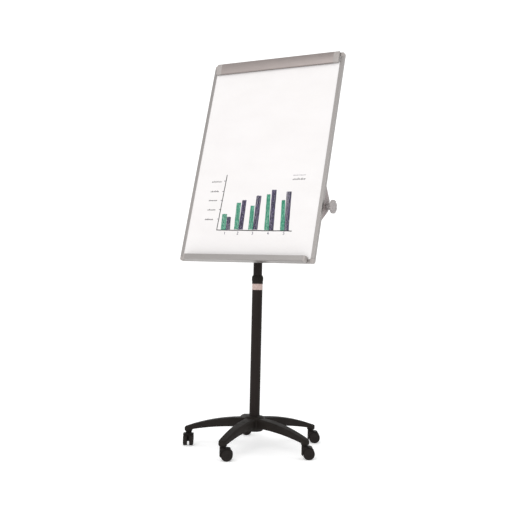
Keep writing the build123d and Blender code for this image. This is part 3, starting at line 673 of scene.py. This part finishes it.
# %% Pivot bolt
SHANK, SHANK_R = 30.0, 5.0
bolt_shape = recessed([
    (0, -SHANK), (SHANK_R - 0.6, -SHANK), (SHANK_R, -SHANK + 0.8), (SHANK_R, 0), (10.6, 0),
    (11, 0.4), (11, 2.2), (10.7, 3.0), (9.9, 4.3), (8.5, 5.6), (6.8, 6.5), (5.6, 6.8),
], HEXAGON, 4.0, 48)
bolt_place = pointing(tilt_axis - Vector((KNOB_REST / 1000, 0, 0)), (-1, 0, 0))
bolt = make_piece(bolt_shape, "pivot_bolt_socket", bolt_place, "upper_mast", zinc_steel,
                  30.0)
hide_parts("pivot_bolt")

# %% [markdown]
# ## Wire and weld
# The clamp is held shut by two coil springs, and the cross tube is welded to the mast.
# Both are a round bar along a path, so both are drawn as a curve with a thickness, which
# is then turned into a mesh. The weld's thickness goes up and down along its path, as the
# ripples of a real bead do.


# %% A round bar along a path
def wire(path, radius, closed=False, ripple=0.0):
    """A bmesh of a round bar through (x, y, z) points in millimetres.

    A ripple makes every second point thinner by that share.
    """
    curve = bpy.data.curves.new("wire", "CURVE")
    curve.dimensions = "3D"
    curve.bevel_depth, curve.bevel_resolution, curve.use_fill_caps = radius, 3, True
    line = curve.splines.new("POLY")
    line.points.add(len(path) - 1)
    line.use_cyclic_u = closed
    for k, (point, place) in enumerate(zip(line.points, path)):
        point.co = (*place, 1)
        point.radius = 1 - ripple * (k % 2)
    holder = bpy.data.objects.new("wire", curve)
    mesh = bpy.data.meshes.new_from_object(holder)
    shape = bmesh.new()
    shape.from_mesh(mesh)
    bpy.data.objects.remove(holder)
    bpy.data.curves.remove(curve)
    bpy.data.meshes.remove(mesh)
    bmesh.ops.remove_doubles(shape, verts=shape.verts, dist=0.0005)
    bmesh.ops.recalc_face_normals(shape, faces=shape.faces)
    return shape


# %% Clamp springs
SPRING_START, COIL_PITCH, TURNS = 306.0, 1.7, 4.25
WIRE_R, COIL_R, TURN_POINTS = 0.7, 3.4, 24
LEG_DOWN, LEG_BEND, HOOK_BACK = -19, -10, -4.6
hinge_in_board = board_place.inverted() @ Vector(joints["clamp_open"]["pos_m"])
coil = [(0, COIL_R, LEG_DOWN), (0, COIL_R, LEG_BEND)]
for k in range(int(TURNS * TURN_POINTS) + 1):
    angle = math.tau * k / TURN_POINTS
    coil.append((COIL_PITCH * k / TURN_POINTS, COIL_R * math.cos(angle), COIL_R * math.sin(angle)))
coil.append((COIL_PITCH * TURNS, HOOK_BACK, COIL_R + 0.3))

springs = bmesh.new()
for side in (-1, 1):
    start = Matrix.Translation((side * SPRING_START, hinge_in_board.y, hinge_in_board.z))
    join_into(springs, wire(coil, WIRE_R), start @ Matrix.Diagonal((side, 1, 1, 1)))
coils = make_piece(springs, "clamp_springs_wound", board_place, "clamp", spring_steel,
                   60.0)
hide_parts("clamp_springs")

# %% Weld between mast and cross tube
MAST_R, CROSS_TUBE_R = 20.5, 16.0
BEAD_R, BEAD_OUT, RIPPLE, SEAM_POINTS = 1.8, 1.2, 0.22, 180
seam = []
for k in range(SEAM_POINTS):
    angle = math.tau * k / SEAM_POINTS
    y = MAST_R * math.sin(angle)
    within = min(abs(y), CROSS_TUBE_R)
    drop = math.sqrt(CROSS_TUBE_R ** 2 - within ** 2)
    out = math.copysign(min(abs(y), CROSS_TUBE_R + BEAD_OUT), y)
    seam.append((MAST_R * math.cos(angle), out, -drop))
weld_place = Matrix.Translation(tilt_axis) @ MM
make_piece(wire(seam, BEAD_R, True, RIPPLE), "head_weld", weld_place, "upper_mast", black_paint)

# %% [markdown]
# ## Hand-drawn chart
# A chart in marker stands on the lower half of the board: two axes, five pairs of bars in
# green and violet, figures under them and rows of notes beside. The notes are only wavy
# lines here, with no words. Ink has almost no thickness, but a sheet exactly in the face of
# the board would flicker, so each stroke is a very thin ribbon just in front of it.

# %% Marker ink
INK_BACK, INK_T = 1.68, 0.08         # the enamel lies 1.7 behind the front of the frame


def marker_ink(name, colour, light, streak):
    """Marker ink with upright streaks: lighter where the pen ran dry."""
    made = new_finish(name, colour, 0.4)
    tint(made, grain(made, streak, (1, 1, 5), LEAN, detail=4.0), colour, light, 0.5, 0.74)
    sheen(made, grain(made, 6, lean=LEAN), 0.3, 0.5)
    emboss(made, grain(made, 0.8, lean=LEAN), 0.01)
    return made


green_ink = marker_ink("green_ink", display(22, 112, 86), display(128, 200, 172), 1.7)
violet_ink = marker_ink("violet_ink", display(26, 20, 46), display(120, 104, 146), 1.7)
black_ink = marker_ink("black_ink", display(14, 12, 15), display(30, 27, 31), 4.0)
grey_ink = marker_ink("grey_ink", display(92, 84, 96), display(150, 142, 152), 4.0)
print("inks ready")


# %% One stroke
def stroke(shape, path, width, lift=0.0):
    """A ribbon along (x, z) points on the board, measured from its lower left corner."""
    count = len(path) - 1
    ribbon = bmesh.ops.create_grid(shape, x_segments=count, y_segments=1, size=0.5)["verts"]
    for vert in ribbon:
        i = round((vert.co.x + 0.5) * count)
        side = 1 if vert.co.y > 0 else -1
        along = Vector(path[min(i + 1, count)]) - Vector(path[max(i - 1, 0)])
        along.normalize()
        x = path[i][0] - along.y * side * width / 2 - BOARD_W / 2
        z = path[i][1] + along.x * side * width / 2
        vert.co = (x, INK_BACK - lift, z)


def ink_piece(shape, name, ink):
    """Gives the ribbons a thickness, and lays them on the board."""
    fronts = bmesh.ops.extrude_face_region(shape, geom=shape.faces[:], use_keep_orig=True)
    moved = [v for v in fronts["geom"] if isinstance(v, bmesh.types.BMVert)]
    bmesh.ops.translate(shape, verts=moved, vec=(0, -INK_T, 0))
    bmesh.ops.recalc_face_normals(shape, faces=shape.faces)
    return make_piece(shape, name, board_place, "board", ink)


def wobble(x0, z0, x1, z1, steps, shake, seed):
    """A line drawn by hand: nearly straight, with a small shake."""
    hand = random.Random(seed)
    path = []
    for i in range(steps + 1):
        t = i / steps
        path.append((x0 + (x1 - x0) * t + hand.uniform(-shake, shake),
                     z0 + (z1 - z0) * t + hand.uniform(-shake, shake)))
    return path


print("pen helpers ready")

# %% Axes of the chart
AXIS_W, TICK_W = 4.2, 2.6
TICKS = (393, 341, 296, 251, 204)
shape = bmesh.new()
stroke(shape, wobble(180, 424, 175.5, 148, 14, 0.35, 1), AXIS_W)
stroke(shape, wobble(173, 150, 569, 145, 22, 0.5, 2), AXIS_W, 0.02)
for i, height in enumerate(TICKS):
    stroke(shape, wobble(168.5, height, 177.5, height + 0.5, 2, 0.2, 3 + i), TICK_W, 0.04)
ink_piece(shape, "chart_axes", black_ink)

# %% Bars of the chart
# The bars are drawn freehand, so each has corners of its own. A row holds the lower left,
# lower right, upper left and upper right x, and the heights of its foot and head.
GREEN_BARS = (
    (198.7, 222.7, 192.3, 216.4, 150.6, 227), (269.8, 291.2, 260.9, 281.7, 151.5, 281.6),
    (345.8, 368.5, 337.9, 357.0, 150.6, 266), (429.5, 451.7, 414.3, 431.0, 148.8, 320),
    (511.3, 532.2, 495.6, 512.0, 147.0, 290.5),
)
VIOLET_BARS = (
    (224.6, 246.3, 221.3, 240.0, 150.8, 213), (293.2, 315.3, 288.7, 309.4, 151.3, 294),
    (369.5, 392.5, 360.8, 384.9, 150.4, 314), (453.0, 475.5, 437.5, 459.1, 148.0, 341.5),
    (531.6, 553.2, 514.0, 537.6, 146.2, 331),
)


FILL_STROKES, EDGE_W = 6, 2.0


def marker_bar(shape, bar, seed):
    """A bar filled by hand: strokes up and down with slips of white between, then an edge."""
    low_left, low_right, high_left, high_right, foot, head = bar
    hand = random.Random(seed)
    for k in range(FILL_STROKES):
        share = (k + 0.5) / FILL_STROKES
        low = low_left + (low_right - low_left) * share
        high = high_left + (high_right - high_left) * share
        start, end = foot + 1 + hand.uniform(-2.2, 1.2) * 0.4, head + hand.uniform(-1.2, 2.4)
        path = wobble(low, start, high, end, 9, 0.35, seed * 31 + k)
        width = (low_right - low_left) / FILL_STROKES * hand.uniform(0.8, 1.06)
        stroke(shape, path, width, 0.012 * (k % 2))
    corners = [(low_left, foot), (high_left, head), (high_right, head), (low_right, foot)]
    for k, (one, other) in enumerate(zip(corners, corners[1:])):
        stroke(shape, wobble(*one, *other, 8, 0.4, seed * 53 + k), EDGE_W, 0.03)


for name, bars, ink in (
    ("chart_green_bars", GREEN_BARS, green_ink), ("chart_violet_bars", VIOLET_BARS, violet_ink)
):
    shape = bmesh.new()
    for k, bar in enumerate(bars):
        marker_bar(shape, bar, 10 * len(name) + k)
    ink_piece(shape, name, ink)

# %% Figures under the bars
# Each figure is one or two lines through points in a box of one by one.
FIGURES = {
    "1": [[(0.3, 0.8), (0.5, 1), (0.5, 0.5), (0.5, 0)]],
    "2": [[(0.1, 0.8), (0.3, 1), (0.7, 0.98), (0.8, 0.7), (0.4, 0.3), (0.1, 0), (0.9, 0.02)]],
    "3": [[
        (0.1, 0.95), (0.6, 1), (0.75, 0.8), (0.4, 0.55), (0.8, 0.35), (0.6, 0.02), (0.1, 0.06),
    ]],
    "4": [
        [(0.65, 1), (0.35, 0.6), (0.1, 0.32), (0.95, 0.32)],
        [(0.7, 0.6), (0.7, 0.3), (0.68, 0)],
    ],
    "5": [[
        (0.85, 1), (0.25, 0.98), (0.2, 0.6), (0.65, 0.58), (0.8, 0.3), (0.55, 0.02), (0.1, 0.06),
    ]],
}
FIGURE_W, FIGURE_H, FIGURE_FOOT, FIGURE_LINE = 9.0, 12.5, 128.5, 2.6
shape = bmesh.new()
for figure, middle in zip("12345", (222, 292, 370.5, 451, 531)):
    for line in FIGURES[figure]:
        path = [(middle + (x - 0.5) * FIGURE_W, FIGURE_FOOT + z * FIGURE_H) for x, z in line]
        stroke(shape, path, FIGURE_LINE)
ink_piece(shape, "chart_figures", violet_ink)


# %% Notes beside the chart
def scribble(shape, x0, x1, z, height, seed, width=3.0):
    """A wavy line in the place of words, with gaps and a few taller loops."""
    hand = random.Random(seed)
    x = x0
    path = []
    while x < x1:
        tall = 1.9 if hand.random() < 0.22 else 1.0
        swing = height * tall if len(path) % 2 else -height * 0.5
        path.append((x, z + swing * hand.uniform(0.6, 1)))
        x += hand.uniform(1.3, 2.4)
        if len(path) > 7 and hand.random() < 0.16:
            stroke(shape, path, width)
            path = []
            x += 1.6
    if len(path) > 1:
        stroke(shape, path, width)


# A row holds the start and end of a note and its height on the board.
NOTES = (
    (102, 156, 389), (105, 150, 340), (103, 148, 295), (106, 148, 248.5), (100, 144.5, 200.5),
)
shape = bmesh.new()
for k, (x0, x1, z) in enumerate(NOTES):
    scribble(shape, x0, x1, z, 3.6, 40 + k)
scribble(shape, 535, 598, 389.5, 4.2, 51)
ink_piece(shape, "chart_notes", black_ink)
shape = bmesh.new()
scribble(shape, 534, 597, 409, 3.2, 50, 1.8)
ink_piece(shape, "chart_note_faint", grey_ink)

# %% [markdown]
# ## Floor, light and camera
# The easel stands on a plain pale floor in soft light from all round, which fades towards
# the top. One large soft light stands above and in front, so shadows are faint and gather
# under the base. The camera is held a little out of level, as a hand holds it.

# %% Floor
FLOOR_R = 40
floor_shape = bmesh.new()
bmesh.ops.create_circle(floor_shape, cap_ends=True, segments=96, radius=FLOOR_R)
floor_mesh = bpy.data.meshes.new("floor")
floor_shape.to_mesh(floor_mesh)
floor_shape.free()
floor_finish = new_finish("floor_finish", (0.97, 0.97, 0.97, 1), 0.9, 0.0, 0.0)
floor_clouds = grain(floor_finish, 900, detail=2.0)
tint(floor_finish, floor_clouds, (0.965, 0.965, 0.965, 1), (0.975, 0.975, 0.975, 1))
shader_of(floor_finish).inputs["Emission Color"].default_value = (1, 1, 1, 1)
shader_of(floor_finish).inputs["Emission Strength"].default_value = 0.26
floor_mesh.materials.append(floor_finish)
floor = bpy.data.objects.new("floor", floor_mesh)
bpy.context.scene.collection.objects.link(floor)
print("floor is", 2 * FLOOR_R, "metres wide")

# %% Light
world = bpy.data.worlds.new("studio")
bpy.context.scene.world = world
world.use_nodes = True
sky = world.node_tree
backdrop = sky.nodes["Background"]
backdrop.inputs["Strength"].default_value = 1.2
direction = sky.nodes.new("ShaderNodeTexCoord")
split = sky.nodes.new("ShaderNodeSeparateXYZ")
fade = sky.nodes.new("ShaderNodeValToRGB")
level_light, overhead_light = fade.color_ramp.elements
level_light.position, level_light.color = 0.42, (1, 1, 1, 1)
overhead_light.position, overhead_light.color = 0.95, (0.5, 0.5, 0.5, 1)
sky.links.new(direction.outputs["Generated"], split.inputs["Vector"])
sky.links.new(split.outputs["Z"], fade.inputs["Fac"])
sky.links.new(fade.outputs["Color"], backdrop.inputs["Color"])

KEY_PLACE, KEY_AIM = Vector((0.4, -3.8, 3.2)), Vector((0, 0, 0.9))
lamp = bpy.data.lights.new("key", "AREA")
lamp.shape, lamp.size, lamp.energy = "SQUARE", 2.6, 55
key_light = bpy.data.objects.new("key", lamp)
key_light.location = KEY_PLACE
key_light.rotation_euler = (KEY_AIM - KEY_PLACE).to_track_quat("-Z", "Y").to_euler()
bpy.context.scene.collection.objects.link(key_light)
bpy.context.scene.view_settings.view_transform = "Standard"

# %% Camera
YAW, PITCH, ROLL = math.radians(29.84), math.radians(-0.52), math.radians(1.32)
DISTANCE, CAMERA_HEIGHT, AIM_SIDE = 3.98484, 0.85, math.radians(0.14)
LENS_MM = 60.47
look = YAW + AIM_SIDE
forward = Vector((
    -math.sin(look) * math.cos(PITCH), math.cos(look) * math.cos(PITCH), -math.sin(PITCH)
))
level = Vector((math.cos(look), math.sin(look), 0))
upward = level.cross(forward)
right = level * math.cos(ROLL) + upward * math.sin(ROLL)
top = upward * math.cos(ROLL) - level * math.sin(ROLL)
lens = bpy.data.cameras.new("camera")
lens.lens, lens.sensor_width = LENS_MM, 36.0
camera = bpy.data.objects.new("camera", lens)
stand = Matrix.Translation((DISTANCE * math.sin(YAW), -DISTANCE * math.cos(YAW), CAMERA_HEIGHT))
camera.matrix_world = stand @ Matrix((right, top, -forward)).transposed().to_4x4()
bpy.context.scene.collection.objects.link(camera)
bpy.context.scene.camera = camera
print("camera", [round(v, 3) for v in camera.location])
